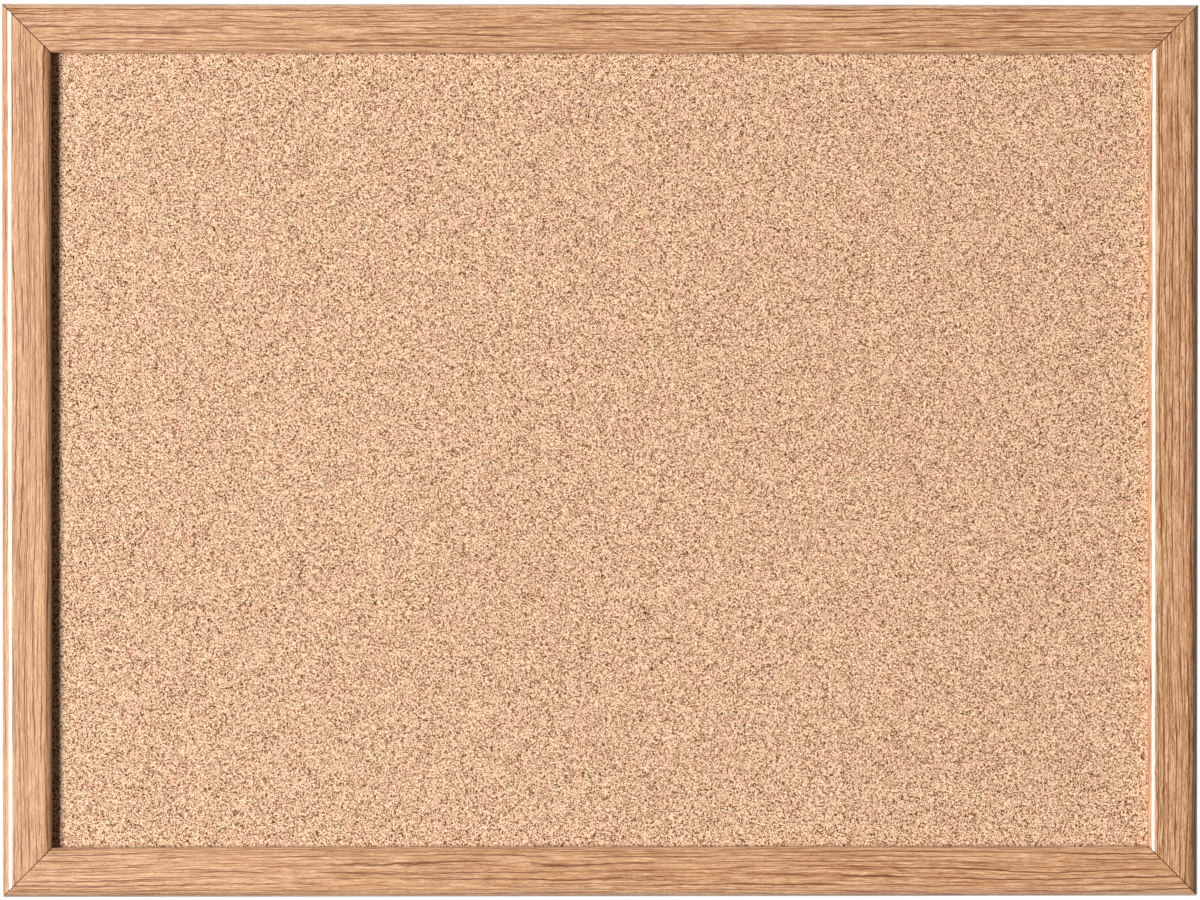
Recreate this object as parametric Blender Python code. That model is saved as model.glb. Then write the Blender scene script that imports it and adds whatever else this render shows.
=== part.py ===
"""Cork bulletin board in a mitred moulding frame, as separate parts.

Metres, +Z up, +X to the viewer's right, the pin-up face towards -Y. The origin is the board's middle on
the wall plane, where the backs of the four wall pads lie. "Proud" distances are measured from the frame's
back, towards the wall.
"""

from math import cos, pi, radians, sin, sqrt

import bmesh
import bpy
from mathutils import Vector

# Whole board
BOARD_WIDTH = 0.600
BOARD_HEIGHT = 0.448
CLEARANCE = 0.0003  # between any two parts that touch

# Frame moulding
RAIL_WIDTH = 0.025
RAIL_DEPTH = 0.020
OUTER_SHOULDER_RADIUS = 0.0062
INNER_SHOULDER_RADIUS = 0.0055
INNER_SHOULDER_TURN = radians(45)  # how far it turns before the tighter inner edge takes over
INNER_EDGE_RADIUS = 0.0012
LIP_DEPTH = 0.0074
REBATE_WIDTH = 0.008
BACK_EDGE_CHAMFER = 0.0004

# Roundness
ARC_STEPS = 8
ROUNDING_STEPS = 3
WIRE_RESOLUTION = 3
STRONGEST_WEIGHT = 100

# Panel stack behind the lip
PANEL_PLAY = 0.001  # each side, inside the rebate
CORK_THICKNESS = 0.002
CORE_THICKNESS = 0.004
BACKING_THICKNESS = 0.002

# V-nails, two across each mitre
NAIL_APEXES = {"outer": 0.004, "inner": 0.0095}  # from both outer edges of the frame
NAIL_LEG = 0.005
NAIL_LIP = 0.0008
NAIL_LIP_ANGLE = radians(60)
NAIL_STRIP = 0.0005
NAIL_HEIGHT = 0.010
NAIL_SUNK = 0.0002

# Flat points that hold the panel in
RETAINERS_ACROSS = (-0.180, 0.0, 0.180)
RETAINERS_UP = (-0.100, 0.100)
RETAINER_WIDTH = 0.0055
RETAINER_THICKNESS = 0.0005
RETAINER_IN_WOOD = 0.0065
RETAINER_TAPER = 0.003
RETAINER_NOSE = 0.0014
RETAINER_PROUD = 0.0095

# Hangers: strap, D-ring and screws
HANGER_DROP = 0.060  # ring axis below the top edge
STRAP_WIDTH = 0.010
STRAP_THICKNESS = 0.0008
STRAP_LENGTH = 0.033
STRAP_END_RADIUS = 0.0042
LOOP_INNER_RADIUS = 0.00135
LOOP_SWEEP = radians(290)
RING_WIRE = 0.002
RING_HALF_WIDTH = 0.007  # to the wire's middle
RING_CORNER_RADIUS = 0.002
RING_STRAIGHT_END = 0.0045  # where the sides turn into the bow, below the bar
SCREW_DROPS = {"upper": 0.017, "lower": 0.027}
SCREW_LENGTH = 0.012
SCREW_ROOT_RADIUS = 0.00105
SCREW_THREAD_RADIUS = 0.0015
SCREW_PITCH = 0.0015
RIDGE_HALF_SHARE = 0.38  # half the ridge's width, as a share of the pitch
SCREW_ROWS_PER_TURN = 4
SCREW_TIP = 0.003
SCREW_SIDES = 16
HEAD_RADIUS = 0.0029
HEAD_HEIGHT = 0.0018
HEAD_RIM = 0.0007
HEAD_STEPS = 5
HEAD_FLATNESS = 0.6  # 1 would be a round dome, less is flatter
RECESS_SPAN = 0.0030
RECESS_WIDTH = 0.0007
RECESS_DEPTH = 0.0012

# Wall pads
PAD_RADIUS = 0.006
PAD_HEIGHT = 0.005
PAD_EDGE = 0.0006
PAD_INSET = 0.038  # from the frame's left and right edges
PAD_SIDES = 32

# Places that follow from the sizes above
BACK_Y = -PAD_HEIGHT
LAND = RAIL_WIDTH - REBATE_WIDTH  # the wide part of the rail's back, outside the rebate
CORNERS = ("top_left", "top_right", "bottom_right", "bottom_left")  # each a quarter turn on from the last
SIDES = {"left": -1, "right": 1}
CUT_OVERRUN = 0.001  # how far a cutter stands out of the face it enters
LOOP_OUTER_RADIUS = LOOP_INNER_RADIUS + STRAP_THICKNESS
RING_AXIS_PROUD = CLEARANCE + LOOP_OUTER_RADIUS
RING_AXIS_Z = BOARD_HEIGHT / 2 - HANGER_DROP
SCREW_SEAT_PROUD = 2 * CLEARANCE + STRAP_THICKNESS


# Building blocks


def material(name, colour, roughness, metallic=0.0):
    made = bpy.data.materials.new(name)
    made.use_nodes = True
    shader = made.node_tree.nodes["Principled BSDF"]
    shader.inputs["Base Color"].default_value = (*colour, 1)
    shader.inputs["Roughness"].default_value = roughness
    shader.inputs["Metallic"].default_value = metallic
    made.diffuse_color = (*colour, 1)
    return made


def place(name, data, finish, location=(0, 0, 0), turn=0.0):
    """Adds an object that is turned about the board's front-to-back axis."""
    obj = bpy.data.objects.new(name, data)
    obj.location = location
    obj.rotation_euler.y = turn
    if finish and not data.materials:
        data.materials.append(finish)
    bpy.context.scene.collection.objects.link(obj)
    return obj


def mesh_from(bm, name, smooth_below=radians(30)):
    """Turns a bmesh into a mesh whose faces point outward, smooth across edges flatter than the angle."""
    bmesh.ops.recalc_face_normals(bm, faces=bm.faces)
    mesh = bpy.data.meshes.new(name)
    bm.to_mesh(mesh)
    bm.free()
    mesh.shade_smooth()
    mesh.set_sharp_from_angle(angle=smooth_below)
    return mesh


def extrusion(corners, along):
    """A closed solid: the flat outline through these corners, extruded by a vector."""
    bm = bmesh.new()
    outline = bm.faces.new([bm.verts.new(corner) for corner in corners])
    grown = bmesh.ops.extrude_face_region(bm, geom=[outline])["geom"]
    moved = [item for item in grown if isinstance(item, bmesh.types.BMVert)]
    bmesh.ops.translate(bm, verts=moved, vec=along)
    return bm


def box(width, depth, height):
    bm = bmesh.new()
    bmesh.ops.create_cube(bm, size=1)
    bmesh.ops.scale(bm, verts=bm.verts, vec=(width, depth, height))
    return bm


def cylinder(name, radius, start, end, sides, rounding=0.0):
    """A cylinder along Y from start to end, its edge at the end rounded."""
    rim = arc((0, 0), radius, 0, 2 * pi, sides)[:-1]
    bm = extrusion([(x, start, z) for x, z in rim], (0, end - start, 0))
    if rounding:
        edges = [edge for edge in bm.edges if all(abs(vert.co.y - end) < CLEARANCE for vert in edge.verts)]
        bmesh.ops.bevel(
            bm, geom=edges, offset=rounding, segments=ROUNDING_STEPS, profile=0.5, affect="EDGES"
        )
    return mesh_from(bm, name)


def arc(centre, radius, start, end, steps):
    """Points along an arc in a plane, its ends included."""
    angles = [start + (end - start) * step / steps for step in range(steps + 1)]
    return [(centre[0] + radius * cos(angle), centre[1] + radius * sin(angle)) for angle in angles]


def strip_outline(path, width, reach=0.0):
    """The outline of a flat strip of this width along a path, with its ends pushed out by reach."""
    points = [Vector(point) for point in path]
    points[0] += (points[0] - points[1]).normalized() * reach
    points[-1] += (points[-1] - points[-2]).normalized() * reach
    one_side = []
    other_side = []
    for index, point in enumerate(points):
        before = (point - points[index - 1]) if index else (points[1] - point)
        after = (points[index + 1] - point) if index < len(points) - 1 else before
        along = (before.normalized() + after.normalized()).normalized()
        across = Vector((-along.y, along.x)) * (width / 2 / along.dot(before.normalized()))
        one_side.append(point + across)
        other_side.append(point - across)
    return one_side + other_side[::-1]


def cutter(name, data, location, turn=0.0):
    obj = place(name, data, None, location, turn)
    obj.hide_render = True
    obj.display_type = "WIRE"
    return obj


def cut(obj, tool):
    boolean = obj.modifiers.new(tool.name, "BOOLEAN")
    boolean.operation = "DIFFERENCE"
    boolean.solver = "EXACT"
    boolean.object = tool


def shade_by_area(obj):
    """Keeps flat faces flat-looking where a cut has added edges to them."""
    weighted = obj.modifiers.new("shade_by_area", "WEIGHTED_NORMAL")
    weighted.mode = "FACE_AREA"
    weighted.weight = STRONGEST_WEIGHT
    weighted.keep_sharp = True


# Frame


def rail_outline():
    """The moulding's section as (y, z) points, with y = 0 at its back and z = 0 at its outer edge."""
    front = -RAIL_DEPTH
    outer = OUTER_SHOULDER_RADIUS
    outer_shoulder = arc((front + outer, -outer), outer, pi / 2, pi, ARC_STEPS)

    turned = pi + INNER_SHOULDER_TURN
    between_centres = INNER_SHOULDER_RADIUS - INNER_EDGE_RADIUS
    edge_z = -RAIL_WIDTH + INNER_EDGE_RADIUS
    shoulder_centre = (front + INNER_SHOULDER_RADIUS, edge_z - between_centres * sin(turned))
    edge_centre = (shoulder_centre[0] + between_centres * cos(turned), edge_z)
    inner_shoulder = arc(shoulder_centre, INNER_SHOULDER_RADIUS, pi, turned, ARC_STEPS)
    inner_edge = arc(edge_centre, INNER_EDGE_RADIUS, turned, 3 * pi / 2, ARC_STEPS // 2)[1:]

    lip_back = front + LIP_DEPTH
    rebate = [(lip_back, -RAIL_WIDTH), (lip_back, -LAND), (0, -LAND)]
    outer_back = [(0, -BACK_EDGE_CHAMFER), (-BACK_EDGE_CHAMFER, 0)]
    return outer_shoulder + inner_shoulder + inner_edge + rebate + outer_back


def rail_mesh(name, length):
    """A rail along X whose ends are mitred, each short of the corner's diagonal by half a clearance."""
    setback = CLEARANCE / sqrt(2)
    bm = bmesh.new()
    section = [bm.verts.new((-(length / 2 + z - setback), y, z)) for y, z in rail_outline()]
    grown = bmesh.ops.extrude_face_region(bm, geom=[bm.faces.new(section)])["geom"]
    for item in grown:
        if isinstance(item, bmesh.types.BMVert):
            item.co.x = -item.co.x
    return mesh_from(bm, name)


def add_rails(finish):
    """Four rails, each drawn as the top one and turned about the board's middle."""
    long_rail = rail_mesh("long_rail", BOARD_WIDTH)
    short_rail = rail_mesh("short_rail", BOARD_HEIGHT)
    half_width = BOARD_WIDTH / 2
    half_height = BOARD_HEIGHT / 2
    return {
        "top": place("top_rail", long_rail, finish, (0, BACK_Y, half_height)),
        "right": place("right_rail", short_rail, finish, (half_width, BACK_Y, 0), pi / 2),
        "bottom": place("bottom_rail", long_rail, finish, (0, BACK_Y, -half_height), pi),
        "left": place("left_rail", short_rail, finish, (-half_width, BACK_Y, 0), -pi / 2),
    }


# Panel stack


def add_panels(cork, softboard, hardboard):
    """The three layers behind the lip, from the front. Returns the Y of the last one's back."""
    width = BOARD_WIDTH - 2 * (LAND + PANEL_PLAY)
    height = BOARD_HEIGHT - 2 * (LAND + PANEL_PLAY)
    layers = (
        ("cork_sheet", CORK_THICKNESS, cork),
        ("fibreboard_core", CORE_THICKNESS, softboard),
        ("hardboard_back", BACKING_THICKNESS, hardboard),
    )
    y = BACK_Y - RAIL_DEPTH + LIP_DEPTH
    for name, thickness, finish in layers:
        middle = y + CLEARANCE + thickness / 2
        place(name, mesh_from(box(width, thickness, height), name), finish, (0, middle, 0))
        y = middle + thickness / 2
    return y


# V-nails


def nail_path():
    """A V with its apex at the origin, one leg along +a and one along -b, and inturned lips."""
    lip_along = NAIL_LIP * cos(NAIL_LIP_ANGLE)
    lip_in = NAIL_LIP * sin(NAIL_LIP_ANGLE)
    return [
        (NAIL_LEG + lip_along, -lip_in),
        (NAIL_LEG, 0),
        (0, 0),
        (0, -NAIL_LEG),
        (lip_in, -NAIL_LEG - lip_along),
    ]


def nail_solid(name, height, grow, front):
    """A V-nail, or with grow the pocket round it, from front towards the wall."""
    outline = strip_outline(nail_path(), NAIL_STRIP + 2 * grow, grow)
    corners = [(a, front, b) for a, b in outline]
    return mesh_from(extrusion(corners, (0, height, 0)), name)


def add_nails(rails, steel):
    front = -NAIL_SUNK - NAIL_HEIGHT
    nail = nail_solid("v_nail", NAIL_HEIGHT, 0, front)
    pocket_depth = NAIL_SUNK + NAIL_HEIGHT + CLEARANCE
    pocket = nail_solid("v_nail_pocket", pocket_depth + CUT_OVERRUN, CLEARANCE, -pocket_depth)
    for turns, corner in enumerate(CORNERS):
        vertical, horizontal = corner.split("_")
        x_side = SIDES[horizontal]
        z_side = 1 if vertical == "top" else -1
        for where, inset in NAIL_APEXES.items():
            x = x_side * (BOARD_WIDTH / 2 - inset)
            z = z_side * (BOARD_HEIGHT / 2 - inset)
            name = f"v_nail_{corner}_{where}"
            place(name, nail, steel, (x, BACK_Y, z), turns * pi / 2)
            tool = cutter(f"{name}_pocket", pocket, (x, BACK_Y, z), turns * pi / 2)
            cut(rails[vertical], tool)
            cut(rails[horizontal], tool)


# Retaining points


def retainer_mesh():
    """A flat point: tapered where it enters the wood (+Z) and round where it lies on the panel's back."""
    half = RETAINER_WIDTH / 2
    nose = RETAINER_NOSE / 2
    taper_starts = RETAINER_IN_WOOD - RETAINER_TAPER
    outline = [(half, taper_starts), (nose, RETAINER_IN_WOOD)]
    outline += [(-nose, RETAINER_IN_WOOD), (-half, taper_starts)]
    outline += arc((0, half - RETAINER_PROUD), half, pi, 2 * pi, 2 * ARC_STEPS)
    corners = [(x, -RETAINER_THICKNESS / 2, z) for x, z in outline]
    return mesh_from(extrusion(corners, (0, RETAINER_THICKNESS, 0)), "retainer")


def add_retainers(rails, panel_back, steel):
    """Points through the rebate's wall, just behind the panel. Each row is turned with its rail."""
    y = panel_back + CLEARANCE + RETAINER_THICKNESS / 2
    retainer = retainer_mesh()
    slot_size = (
        RETAINER_WIDTH + 2 * CLEARANCE,
        RETAINER_THICKNESS + 2 * CLEARANCE,
        RETAINER_IN_WOOD + CLEARANCE + CUT_OVERRUN,
    )
    slot_bm = box(*slot_size)
    slot_middle = (RETAINER_IN_WOOD + CLEARANCE - CUT_OVERRUN) / 2
    bmesh.ops.translate(slot_bm, verts=slot_bm.verts, vec=(0, 0, slot_middle))
    slot = mesh_from(slot_bm, "retainer_slot")
    x_wall = BOARD_WIDTH / 2 - LAND
    z_wall = BOARD_HEIGHT / 2 - LAND
    rows = {
        "top": ([(x, z_wall) for x in RETAINERS_ACROSS], 0),
        "right": ([(x_wall, z) for z in RETAINERS_UP], pi / 2),
        "bottom": ([(x, -z_wall) for x in RETAINERS_ACROSS], pi),
        "left": ([(-x_wall, z) for z in RETAINERS_UP], -pi / 2),
    }
    for side, (places, turn) in rows.items():
        for number, (x, z) in enumerate(places, 1):
            name = f"retainer_{side}_{number}"
            place(name, retainer, steel, (x, y, z), turn)
            cut(rails[side], cutter(f"{name}_slot", slot, (x, y, z), turn))


# Hangers


def strap_mesh():
    """A strap whose top end curls round the ring's bar. Its origin is the bar's axis; the wood is at -Y."""
    middle_radius = LOOP_INNER_RADIUS + STRAP_THICKNESS / 2
    path = [(-middle_radius, -STRAP_LENGTH)]
    path += arc((0, 0), middle_radius, pi, pi - LOOP_SWEEP, 3 * ARC_STEPS)
    corners = [(-STRAP_WIDTH / 2, y, z) for y, z in strip_outline(path, STRAP_THICKNESS)]
    bm = extrusion(corners, (STRAP_WIDTH, 0, 0))
    end_corners = [
        edge
        for edge in bm.edges
        if all(vert.co.z < -STRAP_LENGTH + CLEARANCE for vert in edge.verts)
        and abs(edge.verts[0].co.x - edge.verts[1].co.x) < CLEARANCE
    ]
    bmesh.ops.bevel(
        bm,
        geom=end_corners,
        offset=STRAP_END_RADIUS,
        offset_type="OFFSET",
        segments=ARC_STEPS,
        profile=0.5,
        affect="EDGES",
    )
    return mesh_from(bm, "hanger_strap")


def ring_path():
    """The D-ring's closed line as (x, z) points: the bar on the axis, round corners, and a bow below."""
    corner = RING_CORNER_RADIUS
    corner_x = RING_HALF_WIDTH - corner
    right = arc((corner_x, -corner), corner, pi / 2, 0, ARC_STEPS // 2)
    bow = arc((0, -RING_STRAIGHT_END), RING_HALF_WIDTH, 0, -pi, 2 * ARC_STEPS)
    left = arc((-corner_x, -corner), corner, pi, pi / 2, ARC_STEPS // 2)
    return right + bow + left


def ring_curve():
    curve = bpy.data.curves.new("hanger_ring", "CURVE")
    curve.dimensions = "3D"
    curve.fill_mode = "FULL"
    curve.bevel_depth = RING_WIRE / 2
    curve.bevel_resolution = WIRE_RESOLUTION
    path = ring_path()
    spline = curve.splines.new("POLY")
    spline.points.add(len(path) - 1)
    for point, (x, z) in zip(spline.points, path):
        point.co = (x, 0, z, 1)
    spline.use_cyclic_u = True
    return curve


def thread_radius(depth, angle):
    """The screw's radius at a depth below its head: a helical ridge that fades out at both ends."""
    along_ridge = (depth / SCREW_PITCH - angle / (2 * pi)) % 1
    ridge = max(0.0, 1 - abs(along_ridge - 0.5) / RIDGE_HALF_SHARE)
    to_tip = min(1.0, (SCREW_LENGTH - depth) / SCREW_TIP)
    from_head = min(1.0, depth / SCREW_PITCH)
    height = (SCREW_THREAD_RADIUS - SCREW_ROOT_RADIUS) * ridge * from_head
    return (SCREW_ROOT_RADIUS + height) * sqrt(to_tip)


def lathe(rows, start_y, end_y):
    """A closed solid from rows of (y, radii round the axis), with a point beyond each end row."""
    bm = bmesh.new()
    lines = []
    for y, radii in rows:
        turns = [2 * pi * side / len(radii) for side in range(len(radii))]
        lines.append([bm.verts.new((r * cos(turn), y, r * sin(turn))) for r, turn in zip(radii, turns)])
    for line, following in zip(lines, lines[1:]):
        for side in range(len(line)):
            bm.faces.new((line[side - 1], line[side], following[side], following[side - 1]))
    for line, y in ((lines[0], start_y), (lines[-1], end_y)):
        tip = bm.verts.new((0, y, 0))
        for side in range(len(line)):
            bm.faces.new((line[side - 1], line[side], tip))
    return bm


def screw_mesh():
    """A pan-head screw along -Y, its seat at y = 0 and its head towards the wall."""
    rows = []
    for step in range(HEAD_STEPS - 1, -1, -1):
        angle = pi / 2 * step / HEAD_STEPS
        y = HEAD_RIM + (HEAD_HEIGHT - HEAD_RIM) * sin(angle)
        rows.append((y, [HEAD_RADIUS * cos(angle) ** HEAD_FLATNESS] * SCREW_SIDES))
    rows.append((0, [HEAD_RADIUS] * SCREW_SIDES))
    turns = [2 * pi * side / SCREW_SIDES for side in range(SCREW_SIDES)]
    row_step = SCREW_PITCH / SCREW_ROWS_PER_TURN
    for row in range(round(SCREW_LENGTH / row_step)):
        rows.append((-row * row_step, [thread_radius(row * row_step, turn) for turn in turns]))
    return mesh_from(lathe(rows, HEAD_HEIGHT, -SCREW_LENGTH), "screw", radians(40))


def add_hangers(rails, steel):
    strap = strap_mesh()
    ring = ring_curve()
    screw = screw_mesh()
    pilot_depth = SCREW_LENGTH - SCREW_SEAT_PROUD + CLEARANCE
    bore = SCREW_THREAD_RADIUS + CLEARANCE
    bore_start = -LOOP_OUTER_RADIUS - CUT_OVERRUN
    bore_end = -LOOP_INNER_RADIUS + CUT_OVERRUN
    strap_bore = cylinder("strap_bore", bore, bore_start, bore_end, SCREW_SIDES)
    pilot = cylinder("pilot", bore, -pilot_depth, CUT_OVERRUN, SCREW_SIDES)
    recess = mesh_from(box(RECESS_SPAN, 2 * RECESS_DEPTH, RECESS_WIDTH), "recess")
    for side, sign in SIDES.items():
        x = sign * (BOARD_WIDTH / 2 - LAND / 2)
        axis = (x, BACK_Y + RING_AXIS_PROUD, RING_AXIS_Z)
        strap_obj = place(f"hanger_strap_{side}", strap, steel, axis)
        place(f"hanger_ring_{side}", ring, steel, axis)
        for where, drop in SCREW_DROPS.items():
            z = RING_AXIS_Z - drop
            name = f"screw_{side}_{where}"
            screw_obj = place(name, screw, steel, (x, BACK_Y + SCREW_SEAT_PROUD, z))
            cut(strap_obj, cutter(f"{name}_strap_bore", strap_bore, (x, axis[1], z)))
            cut(rails[side], cutter(f"{name}_pilot", pilot, (x, BACK_Y, z)))
            head_top = (x, BACK_Y + SCREW_SEAT_PROUD + HEAD_HEIGHT, z)
            for number, turn in enumerate((pi / 4, -pi / 4), 1):
                cut(screw_obj, cutter(f"{name}_recess_{number}", recess, head_top, turn))
            shade_by_area(screw_obj)
        shade_by_area(strap_obj)


# Wall pads


def add_pads(rubber):
    pad = cylinder("wall_pad", PAD_RADIUS, CLEARANCE, PAD_HEIGHT, PAD_SIDES, PAD_EDGE)
    x = BOARD_WIDTH / 2 - PAD_INSET
    z = BOARD_HEIGHT / 2 - LAND / 2
    for corner in CORNERS:
        vertical, horizontal = corner.split("_")
        z_side = 1 if vertical == "top" else -1
        place(f"wall_pad_{corner}", pad, rubber, (SIDES[horizontal] * x, BACK_Y, z_side * z))


def main():
    for obj in list(bpy.data.objects):
        bpy.data.objects.remove(obj, do_unlink=True)
    oak_foil = material("oak_foil", (0.60, 0.37, 0.20), 0.42)
    cork = material("cork", (0.62, 0.39, 0.23), 0.85)
    softboard = material("softboard", (0.42, 0.33, 0.23), 0.90)
    hardboard = material("hardboard", (0.20, 0.11, 0.055), 0.60)
    zinc_steel = material("zinc_steel", (0.62, 0.62, 0.60), 0.35, 1.0)
    rubber = material("rubber", (0.035, 0.035, 0.035), 0.75)
    rails = add_rails(oak_foil)
    panel_back = add_panels(cork, softboard, hardboard)
    add_nails(rails, zinc_steel)
    add_retainers(rails, panel_back, zinc_steel)
    add_hangers(rails, zinc_steel)
    add_pads(rubber)
    for rail in rails.values():
        shade_by_area(rail)


main()
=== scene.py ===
"""Looks of the cork bulletin board: finishes, fine shapes, studio light and camera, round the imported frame.

Metres, +Z up, the pin-up face towards -Y. Each rail is drawn as the top one, along X with its outer edge at
z = 0 and its back at y = 0, and then turned into place, so its grain always runs along its own X.
"""

from math import cos, pi, radians, sin, sqrt

import bmesh
import bpy
import numpy as np
from mathutils import Matrix, Vector


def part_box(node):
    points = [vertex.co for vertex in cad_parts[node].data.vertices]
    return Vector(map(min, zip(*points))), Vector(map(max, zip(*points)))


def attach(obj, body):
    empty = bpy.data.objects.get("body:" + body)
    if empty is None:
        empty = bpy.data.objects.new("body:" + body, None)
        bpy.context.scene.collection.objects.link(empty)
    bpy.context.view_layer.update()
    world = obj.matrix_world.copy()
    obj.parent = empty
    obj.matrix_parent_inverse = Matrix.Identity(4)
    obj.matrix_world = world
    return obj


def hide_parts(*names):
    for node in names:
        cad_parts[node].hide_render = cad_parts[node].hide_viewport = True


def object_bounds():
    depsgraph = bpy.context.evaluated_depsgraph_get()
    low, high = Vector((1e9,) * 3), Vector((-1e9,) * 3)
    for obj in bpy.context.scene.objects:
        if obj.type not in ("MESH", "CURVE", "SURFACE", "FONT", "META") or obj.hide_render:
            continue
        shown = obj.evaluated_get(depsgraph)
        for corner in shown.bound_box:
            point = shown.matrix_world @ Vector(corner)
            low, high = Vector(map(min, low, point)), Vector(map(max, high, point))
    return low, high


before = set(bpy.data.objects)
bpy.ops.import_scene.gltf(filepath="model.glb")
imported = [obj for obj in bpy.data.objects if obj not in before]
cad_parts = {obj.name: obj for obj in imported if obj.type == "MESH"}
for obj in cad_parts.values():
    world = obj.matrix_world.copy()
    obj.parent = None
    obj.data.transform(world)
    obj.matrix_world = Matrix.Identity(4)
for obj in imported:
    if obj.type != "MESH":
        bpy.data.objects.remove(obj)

CAD_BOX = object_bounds()

# Places read from the frame
BOARD_LOW, BOARD_HIGH = CAD_BOX
BOARD_WIDTH = BOARD_HIGH.x - BOARD_LOW.x
BOARD_HEIGHT = BOARD_HIGH.z - BOARD_LOW.z
FRONT_Y = BOARD_LOW.y
TOP_LOW, TOP_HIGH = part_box("top_rail")
BACK_Y = TOP_HIGH.y
RAIL_WIDTH = TOP_HIGH.z - TOP_LOW.z
RAIL_DEPTH = BACK_Y - FRONT_Y
MITRE_SETBACK = BOARD_HIGH.x - TOP_HIGH.x
CORK_LOW, CORK_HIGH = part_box("cork_sheet")
PANEL_LOW, PANEL_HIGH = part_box("hardboard_back")

# Moulding
OUTER_SHOULDER_RADIUS = 0.0062
INNER_SHOULDER_RADIUS = 0.0055
INNER_SHOULDER_TURN = radians(45)  # how far it turns before the tighter inner edge takes over
INNER_EDGE_RADIUS = 0.0012
PANEL_PLAY = 0.001  # beside the panel, inside the rebate
PANEL_GAP = 0.0003  # in front of it, behind the lip
REBATE_EDGE = BOARD_WIDTH / 2 - CORK_HIGH.x - PANEL_PLAY  # from the outer edge to the rebate's wall
LIP_DEPTH = CORK_LOW.y - PANEL_GAP - FRONT_Y
SHOULDER_STEPS = 24
EDGE_STEPS = 10
FOIL_RETURN = 0.0045  # how far the foil laps onto the back
FOIL_STEP = 0.00012  # how far its lap stands proud of the bare back
EDGE_ROUNDING = 0.00008
MITRE_EASE = 0.00006  # opens each mitre a little further at both rails' ends
GLUE_SINK = 0.0007  # how far a mitre's glue stays below the foil
GLUE_FILL = 0.94  # its share of the gap

# Relief of the panels: the grid's step, then the depths from the CAD's flat face
CORK_STEP = 0.0016
CORK_DEPTH = 0.00009
CORK_RELIEF = 0.00003
CORK_DEEPEST = 0.0002
BACKING_STEP = 0.006
BACKING_DEPTH = 0.00015
BACKING_RELIEF = 0.00006
BACKING_DEEPEST = 0.0003
BACKING_ROUNDING = 0.0004
RELIEF_SEED = 11

# Hardware
RING_WIRE_RADIUS = 0.001
RING_CORNER_RADIUS = 0.002
RING_CORNER_STEPS = 10
RING_BOW_STEPS = 40
RING_SIDES = 20
NAIL_ROUNDING = 0.00006
POINT_ROUNDING = 0.00010
STRAP_ROUNDING = 0.00012
FLATNESS = radians(0.5)  # the triangles of one flat face turn less than this
HEAD_HEIGHT = 0.0018
HEAD_RIM = 0.0007
HEAD_STEPS = 10
HEAD_FLATNESS = 0.6  # 1 would be a round dome, less is flatter
THREAD_PITCH = 0.0015
THREAD_ROOT_RADIUS = 0.00105
THREAD_CREST_RADIUS = 0.0015
THREAD_TIP = 0.003
THREAD_ROW_STEP = 0.0002
RIDGE_HALF_SHARE = 0.3  # half the ridge's width, as a share of the pitch
SCREW_SIDES = 40
RECESS_WIDTH = 0.0008
RECESS_SPAN = 0.0029
RECESS_DEPTH = 0.0012
PAD_FOOT = 0.0005
PAD_FOOT_TOP = 0.0009
PAD_FLARE = 0.00025  # how far the foot's top stands in from its edge
PAD_WAIST = 0.0003  # and the side below the rim
PAD_RIM = 0.0007
PAD_DISH_EDGE = 0.0016
PAD_DISH_FLOOR = 0.0026
PAD_DISH_DEPTH = 0.0003
PAD_SIDES = 48

# Pockets for the pressed-in hardware
PRESS_GAP = 0.00006
NAIL_SUNK_MOST = 0.0006  # a nail's points nearer to the back than this are carried out through it
POCKET_OVERRUN = 0.001

# The rails in order round the board, with their turns about Y from the top one
TURNS = {"top": 0, "right": pi / 2, "bottom": pi, "left": -pi / 2}
FOIL_RUNS = {  # the print's seed, and the strength of its ink
    "top": (1.7, 1.15),
    "right": (4.4, 1.35),
    "bottom": (8.3, 1.05),
    "left": (11.9, 1.0),
}
SCREW_TURNS = {
    "screw_left_upper": radians(12),
    "screw_left_lower": radians(51),
    "screw_right_upper": radians(-27),
    "screw_right_lower": radians(74),
}

# Camera, at the angle of a straight-on view from a little left of and above the middle
CAMERA_OFFSET = (-0.028, -2.4, 0.028)
AIM_TRIM = (-0.00045, 0, 0.0002)  # centres the board in the picture
FRAME_FILL = 0.9965  # the board's share of the picture's width

# Light. Spreads are half angles.
KEY_ANGLE = radians(39.5)
KEY_DISTANCE = 8.0
KEY_WIDTH = 2.4
KEY_HEIGHT = 3.4
KEY_POWER = 1000.0
DIM_FRONT = 0.05
BRIGHT_REAR = 0.8
OVERHEAD_AXIS = (0, 0.1, 1)
OVERHEAD_SPREAD = radians(24)
OVERHEAD = 1.3
REAR_AXIS = (0, 1, 0.25)
REAR_SPREAD = radians(30)
REAR = 2.2
SOFT_EDGE = radians(5)
REAR_FADE = (0.1, 0.6)  # the surround brightens between these cosines of the angle to +Y
FRONT_LIGHT = 1.31  # what the key and the surround put on the front, for a white of 1
FLOOR_SIZE = 4.4
FLOOR_DROP = 0.6


def rgb(red, green, blue):
    """A colour given as it looks on a screen, from 0 to 255, as the linear RGBA that shaders take."""
    shares = [value / 255 for value in (red, green, blue)]
    linear = [s / 12.92 if s <= 0.04045 else ((s + 0.055) / 1.055) ** 2.4 for s in shares]
    return (*linear, 1)


def lit(red, green, blue):
    """The colour of a matt surface that the studio's light shows as this colour on the screen.

    The palest tones of a pattern may pass 255, because they are only mixed in.
    """
    return (*(share / FRONT_LIGHT for share in rgb(red, green, blue)[:3]), 1)


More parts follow.
